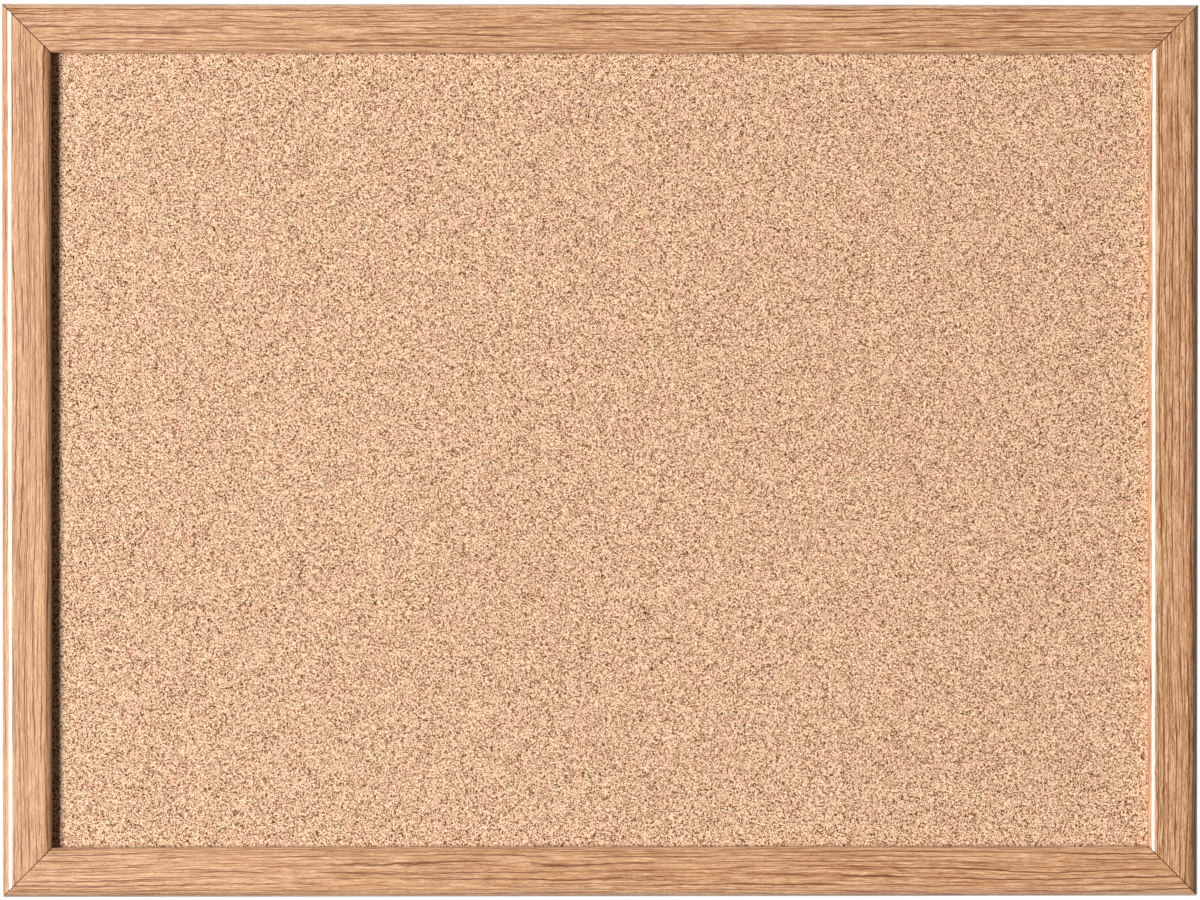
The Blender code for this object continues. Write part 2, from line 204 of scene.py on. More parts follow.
OAK_LIGHT = lit(238, 182, 131)
OAK_PALE = lit(264, 213, 167)
OAK_DEEP = lit(212, 146, 90)
OAK_LINE = lit(126, 58, 10)
CORK_PALE = lit(282, 244, 206)
CORK_LIGHT = lit(258, 212, 169)
CORK_DARK = lit(146, 90, 42)
CORK_BARK = lit(58, 26, 6)
CORK_ROSE = lit(260, 204, 171)
CORK_OLIVE = lit(254, 214, 160)
CORK_GRANULES = 2100  # cells per metre
BARK_CELLS = 1350
SCREEN_SCALE = 160.0  # of the weave pressed into the hardboard


# Node trees


def add_node(tree, kind, inputs=(), **settings):
    """Adds a node. inputs maps a socket's name or number to a value, or to the socket that feeds it."""
    made = tree.nodes.new(kind)
    for name, value in settings.items():
        setattr(made, name, value)
    for key, value in dict(inputs).items():
        if isinstance(value, bpy.types.NodeSocket):
            tree.links.new(value, made.inputs[key])
        else:
            made.inputs[key].default_value = value
    return made


class Finish:
    """One material: a Principled shader and the patterns that feed it, in the piece's own coordinates."""

    def __init__(self, name, **constants):
        self.material = bpy.data.materials.new(name)
        self.material.use_nodes = True
        self.tree = self.material.node_tree
        self.shader = self.tree.nodes["Principled BSDF"]
        for socket, value in constants.items():
            self.shader.inputs[socket.replace("_", " ")].default_value = value
        self.place = add_node(self.tree, "ShaderNodeTexCoord").outputs["Object"]

    def stretched(self, scale, offset=(0, 0, 0), source=None):
        inputs = {"Vector": source or self.place, "Scale": scale, "Location": offset}
        return add_node(self.tree, "ShaderNodeMapping", inputs).outputs["Vector"]

    def noise(self, vector, scale=1.0, detail=2.0, roughness=0.5, distortion=0.0):
        inputs = {
            "Vector": vector,
            "Scale": scale,
            "Detail": detail,
            "Roughness": roughness,
            "Distortion": distortion,
        }
        return add_node(self.tree, "ShaderNodeTexNoise", inputs).outputs["Fac"]

    def cells(self, vector, scale):
        """Three random values for each cell, as the channels of a colour."""
        cell = add_node(self.tree, "ShaderNodeTexVoronoi", {"Vector": vector, "Scale": scale})
        return add_node(self.tree, "ShaderNodeSeparateColor", {"Color": cell.outputs["Color"]}).outputs

    def math(self, operation, a, b=0.0):
        return add_node(self.tree, "ShaderNodeMath", {0: a, 1: b}, operation=operation).outputs[0]

    def between(self, value, low, high, to_low=0.0, to_high=1.0, curve="SMOOTHSTEP"):
        """Maps value from low..high to to_low..to_high."""
        inputs = {"Value": value, 1: low, 2: high, 3: to_low, 4: to_high}
        made = add_node(self.tree, "ShaderNodeMapRange", inputs, interpolation_type=curve)
        return made.outputs["Result"]

    def mixed(self, share, a, b):
        return add_node(self.tree, "ShaderNodeMix", {0: share, 6: a, 7: b}, data_type="RGBA").outputs[2]

    def parts(self, vector):
        return add_node(self.tree, "ShaderNodeSeparateXYZ", {0: vector}).outputs

    def combined(self, x, y, z):
        return add_node(self.tree, "ShaderNodeCombineXYZ", {0: x, 1: y, 2: z}).outputs[0]

    def feed(self, socket, source):
        self.tree.links.new(source, self.shader.inputs[socket])

    def bump(self, height, distance, strength=1.0, after=None):
        inputs = {"Height": height, "Distance": distance, "Strength": strength}
        if after:
            inputs["Normal"] = after
        return add_node(self.tree, "ShaderNodeBump", inputs).outputs["Normal"]


# Finishes


def oak_foil(name, seed, ink):
    """Printed oak foil under a clear lacquer, its grain along X.

    The seed moves the print along, and ink says how strongly its tones are printed.
    """
    foil = Finish(name, Specular_IOR_Level=0.7, Coat_Weight=1.0, Coat_Roughness=0.2, Coat_IOR=1.5)
    along, depth, across = foil.parts(foil.place)
    # The print wraps round both shoulders, so going deeper counts as going further across.
    side = foil.math("SIGN", foil.math("ADD", across, RAIL_WIDTH / 2))
    wrapped = foil.math("MULTIPLY", side, foil.math("ADD", depth, RAIL_DEPTH))
    across = foil.math("ADD", across, wrapped)

    def print_noise(along_scale, across_scale, offset, detail=2.0, source=None):
        """Noise in the plane of the print, with its own scales along and across the grain."""
        scaled = foil.combined(
            foil.math("MULTIPLY", along, along_scale),
            foil.math("MULTIPLY", source or across, across_scale),
            seed + offset,
        )
        return foil.noise(scaled, detail=detail, roughness=0.6)

    # The grain sways slowly and trembles finely.
    slow = foil.between(print_noise(5, 24, 0.0), 0, 1, -0.0045, 0.0045, "LINEAR")
    jitter = foil.between(print_noise(150, 330, 1.9, 1), 0, 1, -0.00045, 0.00045, "LINEAR")
    swayed = foil.math("ADD", foil.math("ADD", across, slow), jitter)

    fades_per_metre = 20

    def lines(spacing, thickness, wander, offset, fade_low, fade_high):
        """Thin dark lines along the grain, each fading in and out and drifting a little sideways."""
        drift = foil.math("MULTIPLY", print_noise(5, 80, offset), wander)
        phase = foil.math("ADD", foil.math("DIVIDE", swayed, spacing), drift)
        number = foil.math("FLOOR", phase)
        off_centre = foil.math("ABSOLUTE", foil.math("SUBTRACT", foil.math("FRACT", phase), 0.5))
        place = foil.combined(foil.math("MULTIPLY", along, fades_per_metre), number, seed + offset)
        run = foil.noise(place, detail=2)
        present = foil.between(run, fade_low, fade_high)
        half = foil.between(run, 0.3, 0.7, thickness / spacing * 0.4, thickness / spacing)
        return foil.math("MULTIPLY", foil.between(off_centre, half, 0.0), present)

    tone = print_noise(3.5, 120, 3.3)
    fine = print_noise(110, 1900, 5.1, 3, swayed)
    streak = print_noise(18, 850, 6.6, 3, swayed)
    pores = print_noise(520, 2600, 9.2, 2)
    coarse = lines(
        spacing=0.0034, thickness=0.00062, wander=2.6, offset=11.0, fade_low=0.34, fade_high=0.52
    )
    medium = lines(
        spacing=0.0018, thickness=0.00042, wander=2.2, offset=17.0, fade_low=0.42, fade_high=0.58
    )
    grain = foil.math("MAXIMUM", coarse, foil.math("MULTIPLY", medium, 0.8))
    colour = foil.mixed(foil.between(tone, 0.30, 0.70, 0.3, 1.0), OAK_DEEP, OAK_LIGHT)
    colour = foil.mixed(foil.between(streak, 0.52, 0.74, 0.0, 0.7 * ink), colour, OAK_DEEP)
    colour = foil.mixed(foil.between(streak, 0.46, 0.28, 0.0, 0.8 * ink), colour, OAK_PALE)
    colour = foil.mixed(foil.between(fine, 0.50, 0.66, 0.0, 0.9 * ink), colour, OAK_PALE)
    colour = foil.mixed(foil.between(fine, 0.48, 0.26, 0.0, 0.7 * ink), colour, OAK_LINE)
    colour = foil.mixed(foil.between(pores, 0.54, 0.70, 0.0, 0.55 * ink), colour, OAK_LINE)
    colour = foil.mixed(grain, colour, OAK_LINE)
    foil.feed("Base Color", colour)
    foil.feed("Roughness", foil.between(fine, 0.3, 0.7, 0.40, 0.48))
    pressed = foil.bump(foil.math("MULTIPLY", grain, -1), 0.00003, 0.5)
    foil.feed("Normal", foil.bump(fine, 0.000008, 0.5, pressed))
    return foil.material


def raw_fibreboard():
    """The moulding's bare core: fine buff fibres with darker flecks."""
    board = Finish("raw_fibreboard")
    fuzz = board.noise(board.place, 900, 4, 0.7)
    flecks = board.noise(board.stretched((0.5, 1.5, 1)), 2400, 2)
    colour = board.mixed(board.between(fuzz, 0.3, 0.7), rgb(164, 132, 98), rgb(190, 158, 122))
    colour = board.mixed(board.between(flecks, 0.62, 0.74, 0.0, 0.5), colour, rgb(112, 84, 58))
    board.feed("Base Color", colour)
    board.feed("Roughness", board.between(fuzz, 0.3, 0.7, 0.78, 0.92))
    board.feed("Normal", board.bump(fuzz, 0.00006, 0.7))
    return board.material


def cork():
    """Fine agglomerated cork: pressed granules with their own tones, dark bark specks and pale flecks."""
    sheet = Finish("cork", Specular_IOR_Level=0.3)
    push = add_node(sheet.tree, "ShaderNodeTexNoise", {"Vector": sheet.place, "Scale": 1500, "Detail": 1})
    push = add_node(
        sheet.tree, "ShaderNodeVectorMath", {0: push.outputs["Color"], "Scale": 0.0009}, operation="SCALE"
    )
    warped = add_node(
        sheet.tree, "ShaderNodeVectorMath", {0: sheet.place, 1: push.outputs[0]}, operation="ADD"
    ).outputs[0]
    granule = sheet.cells(warped, CORK_GRANULES)
    bark = sheet.cells(warped, BARK_CELLS)
    fine = sheet.noise(sheet.place, 3600, 2, 0.6)
    patch = sheet.noise(sheet.place, 55, 3, 0.6)
    hue = sheet.noise(sheet.stretched((1, 1, 1), (3.3, 0, 1.7)), 110, 2)
    colour = sheet.mixed(sheet.between(patch, 0.35, 0.65), CORK_LIGHT, CORK_ROSE)
    colour = sheet.mixed(sheet.between(hue, 0.48, 0.72, 0.0, 0.6), colour, CORK_OLIVE)
    colour = sheet.mixed(sheet.between(granule[0], 0.36, 0.24), colour, CORK_DARK)
    colour = sheet.mixed(sheet.between(granule[0], 0.66, 0.78), colour, CORK_PALE)
    colour = sheet.mixed(sheet.between(fine, 0.46, 0.26, 0.0, 0.5), colour, CORK_DARK)
    colour = sheet.mixed(sheet.between(granule[2], 0.90, 0.94), colour, CORK_BARK)
    colour = sheet.mixed(sheet.between(bark[1], 0.955, 0.965), colour, CORK_BARK)
    sheet.feed("Base Color", colour)
    sheet.feed("Roughness", sheet.between(fine, 0.3, 0.7, 0.74, 0.92))
    grains = sheet.bump(granule[2], 0.00010, 0.5)
    sheet.feed("Normal", sheet.bump(fine, 0.00006, 0.6, grains))
    return sheet.material


def softboard():
    """Pale, loosely felted board with upright fibres."""
    board = Finish("softboard")
    fibres = board.noise(board.stretched((1, 1, 0.4)), 700, 4, 0.7)
    colour = board.mixed(board.between(fibres, 0.3, 0.7), rgb(150, 128, 100), rgb(186, 166, 136))
    board.feed("Base Color", colour)
    board.feed("Roughness", board.between(fibres, 0.3, 0.7, 0.85, 0.95))
    board.feed("Normal", board.bump(fibres, 0.0002, 0.8))
    return board.material


def hardboard():
    """Pressed brown board with long fibres and the faint weave of the screen that it was pressed on."""
    board = Finish("hardboard", Specular_IOR_Level=0.35)
    fibres = board.noise(board.place, 420, 5, 0.72, 0.6)
    cloud = board.noise(board.stretched((1, 1, 1), (1.3, 0, 0.4)), 9, 3)
    strands = board.noise(board.stretched((0.35, 1, 1.6), (0, 0, 2.2)), 800, 2)
    colour = board.mixed(board.between(fibres, 0.3, 0.7), rgb(104, 70, 44), rgb(140, 100, 66))
    colour = board.mixed(board.between(cloud, 0.35, 0.7, 0.0, 0.45), colour, rgb(118, 84, 56))
    colour = board.mixed(board.between(strands, 0.62, 0.76, 0.0, 0.5), colour, rgb(172, 134, 94))
    colour = board.mixed(board.between(strands, 0.36, 0.24, 0.0, 0.6), colour, rgb(66, 42, 26))
    board.feed("Base Color", colour)
    board.feed("Roughness", board.between(fibres, 0.3, 0.7, 0.52, 0.72))
    weave = [
        add_node(
            board.tree,
            "ShaderNodeTexWave",
            {"Vector": board.place, "Scale": SCREEN_SCALE, "Distortion": 0.5, "Detail Scale": 2.0},
            bands_direction=direction,
        ).outputs["Fac"]
        for direction in ("X", "Z")
    ]
    screen = board.bump(board.math("MULTIPLY", *weave), 0.00010, 0.5)
    board.feed("Normal", board.bump(fibres, 0.00004, 0.5, screen))
    return board.material


def metal(name, bright, dull, roughness, grain_scale, wear):
    """Plated or bare sheet steel: clouded plating, fine brushing and a little wear."""
    steel = Finish(name, Metallic=1.0)
    cloud = steel.noise(steel.place, 420, 3, 0.6)
    brushed = steel.noise(steel.stretched((3, 3, 0.25)), grain_scale, 3, 0.7)
    spots = steel.noise(steel.stretched((1, 1, 1), (5, 1, 2)), 1300, 2)
    colour = steel.mixed(steel.between(cloud, 0.35, 0.65), dull, bright)
    colour = steel.mixed(steel.between(spots, 0.66, 0.76, 0.0, wear), colour, rgb(96, 84, 70))
    steel.feed("Base Color", colour)
    steel.feed("Roughness", steel.between(brushed, 0.25, 0.75, roughness - 0.08, roughness + 0.10))
    steel.feed("Normal", steel.bump(brushed, 0.000012, 0.6))
    return steel.material


def rubber():
    """Black moulded rubber with a grey bloom and a fine pebbled skin."""
    pad = Finish("rubber", Specular_IOR_Level=0.4)
    bloom = pad.noise(pad.place, 260, 3)
    pebble = pad.noise(pad.place, 2600, 2)
    pad.feed("Base Color", pad.mixed(pad.between(bloom, 0.35, 0.7), rgb(38, 37, 36), rgb(62, 60, 58)))
    pad.feed("Roughness", pad.between(pebble, 0.3, 0.7, 0.62, 0.82))
    pad.feed("Normal", pad.bump(pebble, 0.00005, 0.6))
    return pad.material


def glue():
    """Dried dark glue with a rippled surface."""
    line = Finish("joint_glue")
    ripple = line.noise(line.place, 900, 2)
    line.feed("Base Color", line.mixed(ripple, rgb(32, 13, 5), rgb(56, 28, 13)))
    line.feed("Roughness", line.between(ripple, 0.3, 0.7, 0.35, 0.6))
    line.feed("Normal", line.bump(ripple, 0.00004, 0.6))
    return line.material


def pale_floor():
    """Painted floor, pale and slightly clouded."""
    floor = Finish("studio_floor")
    cloud = floor.noise(floor.place, 1.4, 3)
    floor.feed("Base Color", floor.mixed(cloud, rgb(240, 240, 239), rgb(246, 246, 245)))
    floor.feed("Roughness", floor.between(cloud, 0.3, 0.7, 0.62, 0.74))
    return floor.material


# Mesh helpers


def closed_mesh(name, bm):
    """Turns the bmesh of a closed solid into a mesh whose faces point out."""
    bmesh.ops.recalc_face_normals(bm, faces=bm.faces)
    mesh = bpy.data.meshes.new(name)
    bm.to_mesh(mesh)
    bm.free()
    return mesh


def add_piece(name, mesh, materials, body="board", location=(0, 0, 0), turn=0.0):
    """Adds a piece that rides on a body and takes its finish from a slot, turned about Y."""
    for material in materials:
        mesh.materials.append(material)
    obj = bpy.data.objects.new(name, mesh)
    obj.location = location
    obj.rotation_euler.y = turn
    bpy.context.scene.collection.objects.link(obj)
    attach(obj, body)
    return obj


def smooth(mesh, below=radians(35)):
    """Shades a mesh smooth over every edge that turns less than below."""
    mesh.shade_smooth()
    mesh.set_sharp_from_angle(angle=below)


def add_bevel(obj, width, angle=radians(40)):
    """Rounds every edge that turns more than angle."""
    bevel = obj.modifiers.new("edge_rounding", "BEVEL")
    bevel.width = width
    bevel.segments = 2
    bevel.limit_method = "ANGLE"
    bevel.angle_limit = angle


def add_face_weighting(obj):
    """Keeps large faces flat in their shading beside rounded edges."""
    weighted = obj.modifiers.new("face_weighting", "WEIGHTED_NORMAL")
    weighted.weight = 100
    weighted.keep_sharp = True


def arc(centre, radius, start, end, steps):
    """Points on an arc, from the start angle to the end angle."""
    angles = [start + (end - start) * step / steps for step in range(steps + 1)]
    return [(centre[0] + radius * cos(a), centre[1] + radius * sin(a)) for a in angles]


def frame_copy(node, grow=0.0):
    """A bmesh of a CAD node with its triangles' shared corners joined, pushed outward by grow."""
    bm = bmesh.new()
    bm.from_mesh(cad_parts[node].data)
    bmesh.ops.remove_doubles(bm, verts=bm.verts, dist=1e-6)
    bmesh.ops.recalc_face_normals(bm, faces=bm.faces)
    bm.normal_update()
    if grow:
        for vert in bm.verts:
            vert.co += vert.normal * grow * vert.calc_shell_factor()
    return bm


def cut_away(obj, tool_mesh, place=None, overlapping=False):
    """Cuts a mesh out of an object, and replaces the object's mesh by its modified one."""
    tool = bpy.data.objects.new("cutter", tool_mesh)
    if place is not None:
        tool.matrix_world = place
    bpy.context.scene.collection.objects.link(tool)
    cut = obj.modifiers.new("cut", "BOOLEAN")
    cut.operation = "DIFFERENCE"
    cut.solver = "EXACT"
    cut.use_self = overlapping
    cut.object = tool
    bpy.context.view_layer.update()
    graph = bpy.context.evaluated_depsgraph_get()
    made = bpy.data.meshes.new_from_object(obj.evaluated_get(graph))
    obj.modifiers.clear()
    obj.data = made
    bpy.data.objects.remove(tool)


def lathe(rows, sides, start_y=None, end_y=None):
    """A closed solid round Y from rows of (y, radii), with a point beyond each end row."""
    bm = bmesh.new()
    turns = [2 * pi * side / sides for side in range(sides)]
    lines = []
    for y, radii in rows:
        spread = radii if isinstance(radii, list) else [radii] * sides
        lines.append([bm.verts.new((r * cos(t), y, r * sin(t))) for r, t in zip(spread, turns)])
    for line, following in zip(lines, lines[1:]):
        for side in range(sides):
            bm.faces.new((line[side - 1], line[side], following[side], following[side - 1]))
    for line, y in ((lines[0], start_y), (lines[-1], end_y)):
        tip = bm.verts.new((0, line[0].co.y if y is None else y, 0))
        for side in range(sides):
            bm.faces.new((line[side - 1], line[side], tip))
    return bm


# Frame


def moulding_section(inset=0.0):
    """The rail's face as (y, z) points, from its outer side over both shoulders to its inner edge."""
    outer = OUTER_SHOULDER_RADIUS
    outer_shoulder = arc((outer - RAIL_DEPTH, -outer), outer - inset, pi / 2, pi, SHOULDER_STEPS)
    turned = pi + INNER_SHOULDER_TURN
    between_centres = INNER_SHOULDER_RADIUS - INNER_EDGE_RADIUS
    edge_z = INNER_EDGE_RADIUS - RAIL_WIDTH
    shoulder_centre = (INNER_SHOULDER_RADIUS - RAIL_DEPTH, edge_z - between_centres * sin(turned))
    edge_centre = (shoulder_centre[0] + between_centres * cos(turned), edge_z)
    inner_shoulder = arc(shoulder_centre, INNER_SHOULDER_RADIUS - inset, pi, turned, SHOULDER_STEPS)
    inner_edge = arc(edge_centre, INNER_EDGE_RADIUS - inset, turned, 3 * pi / 2, EDGE_STEPS)[1:]
    return outer_shoulder + inner_shoulder + inner_edge


def rail_section():
    """The whole rail's section: the face, the rebate behind the lip and the back with the foil's edge."""
    lip_back = -RAIL_DEPTH + LIP_DEPTH
    rebate = [(lip_back, -RAIL_WIDTH), (lip_back, -REBATE_EDGE), (-FOIL_STEP, -REBATE_EDGE)]
    back = [(-FOIL_STEP, -FOIL_RETURN), (0, -FOIL_RETURN), (0, 0)]
    return moulding_section() + rebate + back


def rail_solid(length):
    """A mitred rail. Its faces between the foil's two edges, round the back, are the second material's."""
    section = rail_section()
    bm = bmesh.new()
    ends = [
        [bm.verts.new((side * (length / 2 + z - MITRE_SETBACK - MITRE_EASE), y, z)) for y, z in section]
        for side in (-1, 1)
    ]
    shoulders = len(moulding_section())
    for index in range(len(section)):
        after = (index + 1) % len(section)
        face = bm.faces.new((ends[0][index], ends[0][after], ends[1][after], ends[1][index]))
        face.material_index = 1 if shoulders <= index < len(section) - 2 else 0
    for end in ends:
        bm.faces.new(end).material_index = 1
    return bm


def pockets(side):
    """The holes that the V-nails and retaining points of one side press into, as one mesh."""
    joined = bmesh.new()
    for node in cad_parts:
        if node.startswith(f"retainer_{side}_") or (node.startswith("v_nail") and side in node):
            grown = frame_copy(node, PRESS_GAP)
            for vert in grown.verts:
                if node.startswith("v_nail") and vert.co.y > BACK_Y - NAIL_SUNK_MOST:
                    vert.co.y = BACK_Y + POCKET_OVERRUN
            mesh = closed_mesh(node, grown)
            joined.from_mesh(mesh)
            bpy.data.meshes.remove(mesh)
    return closed_mesh(f"{side}_pockets", joined)


def add_rails(bare):
    """Four mitred rails, each with its own run of foil."""
    places = {
        "top": (0, BACK_Y, BOARD_HIGH.z),
        "right": (BOARD_HIGH.x, BACK_Y, 0),
        "bottom": (0, BACK_Y, BOARD_LOW.z),
        "left": (BOARD_LOW.x, BACK_Y, 0),
    }
    for side, turn in TURNS.items():
        length = BOARD_WIDTH if side in ("top", "bottom") else BOARD_HEIGHT
        name = f"{side}_moulding"
        mesh = closed_mesh(name, rail_solid(length))
        smooth(mesh)
        finishes = [oak_foil(f"oak_foil_{side}", *FOIL_RUNS[side]), bare]
        rail = add_piece(name, mesh, finishes, "board", places[side], turn)
        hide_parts(f"{side}_rail")
        add_bevel(rail, EDGE_ROUNDING)
        cut_away(rail, pockets(side))
        add_face_weighting(rail)


def add_glue_lines(finish):
    """A thin dried glue line inside each mitre, just below the foil."""
    half_thickness = MITRE_SETBACK / sqrt(2) * GLUE_FILL
    lowest = -RAIL_DEPTH + LIP_DEPTH - GLUE_SINK
    section = [(lowest, -GLUE_SINK), *moulding_section(GLUE_SINK), (lowest, -RAIL_WIDTH + GLUE_SINK)]
    for number, turn in enumerate(TURNS.values()):
        corner_x, corner_z = BOARD_HIGH.x, BOARD_HIGH.z
        if number % 2:
            corner_x, corner_z = corner_z, corner_x
        across = Vector((1, 0, -1)).normalized() * half_thickness
        spin = Matrix.Rotation(turn, 3, "Y")
        bm = bmesh.new()
        ends = []
        for side in (-1, 1):
            points = [Vector((corner_x + z, BACK_Y + y, corner_z + z)) + across * side for y, z in section]
            ends.append([bm.verts.new(spin @ point) for point in points])
        for index in range(len(section)):
            after = (index + 1) % len(section)
            bm.faces.new((ends[0][index], ends[0][after], ends[1][after], ends[1][index]))
        for end in ends:
            bm.faces.new(end)
        name = f"mitre_glue_{number + 1}"
        add_piece(name, closed_mesh(name, bm), [finish])


# Panel


def uneven(rows, columns, reach, rng):
    """A smooth random height field of unit strength, made by averaging white noise over reach cells."""
    field = rng.standard_normal((rows + 2 * reach, columns + 2 * reach))
    window = np.hanning(2 * reach + 3)[1:-1]
    window /= np.sqrt((window**2).sum())
    field = np.apply_along_axis(lambda line: np.convolve(line, window, "valid"), 0, field)
    return np.apply_along_axis(lambda line: np.convolve(line, window, "valid"), 1, field)


def relief_slab(name, low, high, step, relief, face_side, finish):
    """A closed slab whose face at one end of Y goes inward by the depths that relief gives."""
    columns = round((high.x - low.x) / step) + 1
    rows = round((high.z - low.z) / step) + 1
    xs, zs = np.meshgrid(np.linspace(low.x, high.x, columns), np.linspace(low.z, high.z, rows))
    depth = relief(rows, columns)
    outer = low.y if face_side < 0 else high.y
    face_y = outer - face_side * depth
    front = np.stack([xs, face_y, zs], axis=-1).reshape(-1, 3)
    grid = np.arange(rows * columns).reshape(rows, columns)
    quads = np.stack([grid[:-1, :-1], grid[:-1, 1:], grid[1:, 1:], grid[1:, :-1]], axis=-1).reshape(-1, 4)
    rim = np.concatenate([grid[0, :-1], grid[:-1, -1], grid[-1, :0:-1], grid[:0:-1, 0]])
    behind = front[rim].copy()
    behind[:, 1] = high.y if face_side < 0 else low.y
    back = np.arange(len(rim)) + len(front)
    sides = np.stack([rim, back, np.roll(back, -1), np.roll(rim, -1)], axis=-1)
    faces = [*quads.tolist(), *sides.tolist(), back.tolist()]
    mesh = bpy.data.meshes.new(name)
    mesh.from_pydata(np.concatenate([front, behind]).tolist(), [], faces)
    bm = bmesh.new()
    bm.from_mesh(mesh)
    bmesh.ops.recalc_face_normals(bm, faces=bm.faces)
    bm.to_mesh(mesh)
    bm.free()
    smooth(mesh, radians(60))
    return add_piece(name, mesh, [finish])


def add_panels(cork_finish, core_finish, board_finish):
    """The cork's granular face and the hardboard's uneven back. The core between them stays the CAD's."""
    rng = np.random.default_rng(RELIEF_SEED)

    def cork_relief(rows, columns):
        granules = uneven(rows, columns, 1, rng)
        pressed = uneven(rows, columns, 14, rng)
        return np.clip(CORK_DEPTH + CORK_RELIEF * granules + CORK_RELIEF * pressed, 0, CORK_DEEPEST)

    def board_relief(rows, columns):
        return np.clip(BACKING_DEPTH + BACKING_RELIEF * uneven(rows, columns, 5, rng), 0, BACKING_DEEPEST)

    sheet = relief_slab(
        "cork_surface", CORK_LOW, CORK_HIGH, CORK_STEP, cork_relief, -1, cork_finish
    )
    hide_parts("cork_sheet")
    back = relief_slab(
        "backing_board", PANEL_LOW, PANEL_HIGH, BACKING_STEP, board_relief, 1, board_finish
    )
    add_bevel(back, BACKING_ROUNDING, radians(60))
    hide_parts("hardboard_back")
    finish_node("fibreboard_core", core_finish)


def finish_node(node, finish):
    """Gives a CAD node that stays in view its own finish."""
    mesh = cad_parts[node].data
    mesh.materials.clear()
    mesh.materials.append(finish)


# Hardware


def softened_copy(node, name, finish, width):
    """A CAD node's shape with flat faces made whole and its edges rounded."""
    bm = frame_copy(node)
    bmesh.ops.dissolve_limit(bm, angle_limit=FLATNESS, verts=bm.verts, edges=bm.edges)
    piece = add_piece(name, closed_mesh(name, bm), [finish])
    smooth(piece.data)
    add_bevel(piece, width, radians(35))
    add_face_weighting(piece)
    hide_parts(node)


def ring_line(half_width, reach, corner):
    """The D-ring's closed line as (x, z) points round its bar's axis."""
    straight_end = reach - half_width
    right = arc((half_width - corner, -corner), corner, pi / 2, 0, RING_CORNER_STEPS)
    bow = arc((0, -straight_end), half_width, 0, -pi, RING_BOW_STEPS)
    left = arc((corner - half_width, -corner), corner, pi, pi / 2, RING_CORNER_STEPS)
    return right + bow + left


def tube(line, radius, sides):
    """A closed tube round a flat closed line in XZ."""
    bm = bmesh.new()
    rings = []
    for index, (x, z) in enumerate(line):
        before = Vector(line[index - 1])
        after = Vector(line[(index + 1) % len(line)])
        along = (after - before).normalized()
        outward = Vector((along.y, 0, -along.x))
        ring = []
        for side in range(sides):
            turn = 2 * pi * side / sides
            offset = outward * (radius * cos(turn)) + Vector((0, radius * sin(turn), 0))
            ring.append(bm.verts.new(Vector((x, 0, z)) + offset))
        rings.append(ring)
    for index, ring in enumerate(rings):
        following = rings[(index + 1) % len(rings)]
        for side in range(sides):
            bm.faces.new((ring[side - 1], ring[side], following[side], following[side - 1]))
    return bm


def add_ring(side, finish):
    """A D-ring of round wire, with its origin on the bar's axis."""
    low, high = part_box(f"hanger_ring_{side}")
    middle = (low + high) / 2
    axis = Vector((middle.x, middle.y, high.z - RING_WIRE_RADIUS))
    half_width = (high.x - low.x) / 2 - RING_WIRE_RADIUS
    reach = axis.z - low.z - RING_WIRE_RADIUS
    line = ring_line(half_width, reach, RING_CORNER_RADIUS)
    mesh = closed_mesh(f"d_ring_{side}", tube(line, RING_WIRE_RADIUS, RING_SIDES))
    smooth(mesh, radians(60))
    ring = add_piece(f"d_ring_{side}", mesh, [finish], f"ring_{side}", axis)
    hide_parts(f"hanger_ring_{side}")


def thread_radii(depth, length, sides):
    """A screw's radii round its axis at a depth below the head."""
    rise = THREAD_CREST_RADIUS - THREAD_ROOT_RADIUS
    fade = min(1.0, depth / THREAD_PITCH)
    taper = sqrt(min(1.0, (length - depth) / THREAD_TIP))
    radii = []
    for side in range(sides):
        along_ridge = (depth / THREAD_PITCH - side / sides) % 1
        ridge = max(0.0, 1 - abs(along_ridge - 0.5) / RIDGE_HALF_SHARE)
        radii.append((THREAD_ROOT_RADIUS + rise * ridge * fade) * taper)
    return radii


def screw_solid(head_radius, length):
    """A pan head with a rounded rim, a flat seat at y = 0, and a threaded shank along -Y."""
    rows = []
    for step in range(HEAD_STEPS - 1, 0, -1):
        angle = pi / 2 * step / HEAD_STEPS
        height = HEAD_RIM + (HEAD_HEIGHT - HEAD_RIM) * sin(angle)
        rows.append((height, head_radius * cos(angle) ** HEAD_FLATNESS))
    rows += [(HEAD_RIM * 0.8, head_radius), (0.0001, head_radius), (0, head_radius - 0.0001)]
    for row in range(round(length / THREAD_ROW_STEP)):
        depth = row * THREAD_ROW_STEP
        rows.append((-depth, thread_radii(depth, length, SCREW_SIDES)))
    return lathe(rows, SCREW_SIDES, HEAD_HEIGHT, -length)


def cross_recess():
    """A tapered cross that is cut into a screw's head, its mouth at y = 0."""
    bm = bmesh.new()
    for turn in (0, pi / 2):
        corners = []
        for y, scale in ((RECESS_DEPTH * 0.5, 1.25), (-RECESS_DEPTH, 0.55)):
            for x, z in ((1, 1), (-1, 1), (-1, -1), (1, -1)):
                corners.append(Vector((x * RECESS_SPAN / 2 * scale, y, z * RECESS_WIDTH / 2 * sqrt(scale))))
        spun = [bm.verts.new(Matrix.Rotation(turn, 3, "Y") @ corner) for corner in corners]
        bm.faces.new(spun[:4])
        bm.faces.new(spun[4:][::-1])
        for side in range(4):
            after = (side + 1) % 4
            bm.faces.new((spun[side], spun[side + 4], spun[after + 4], spun[after]))
    return closed_mesh("cross_recess", bm)


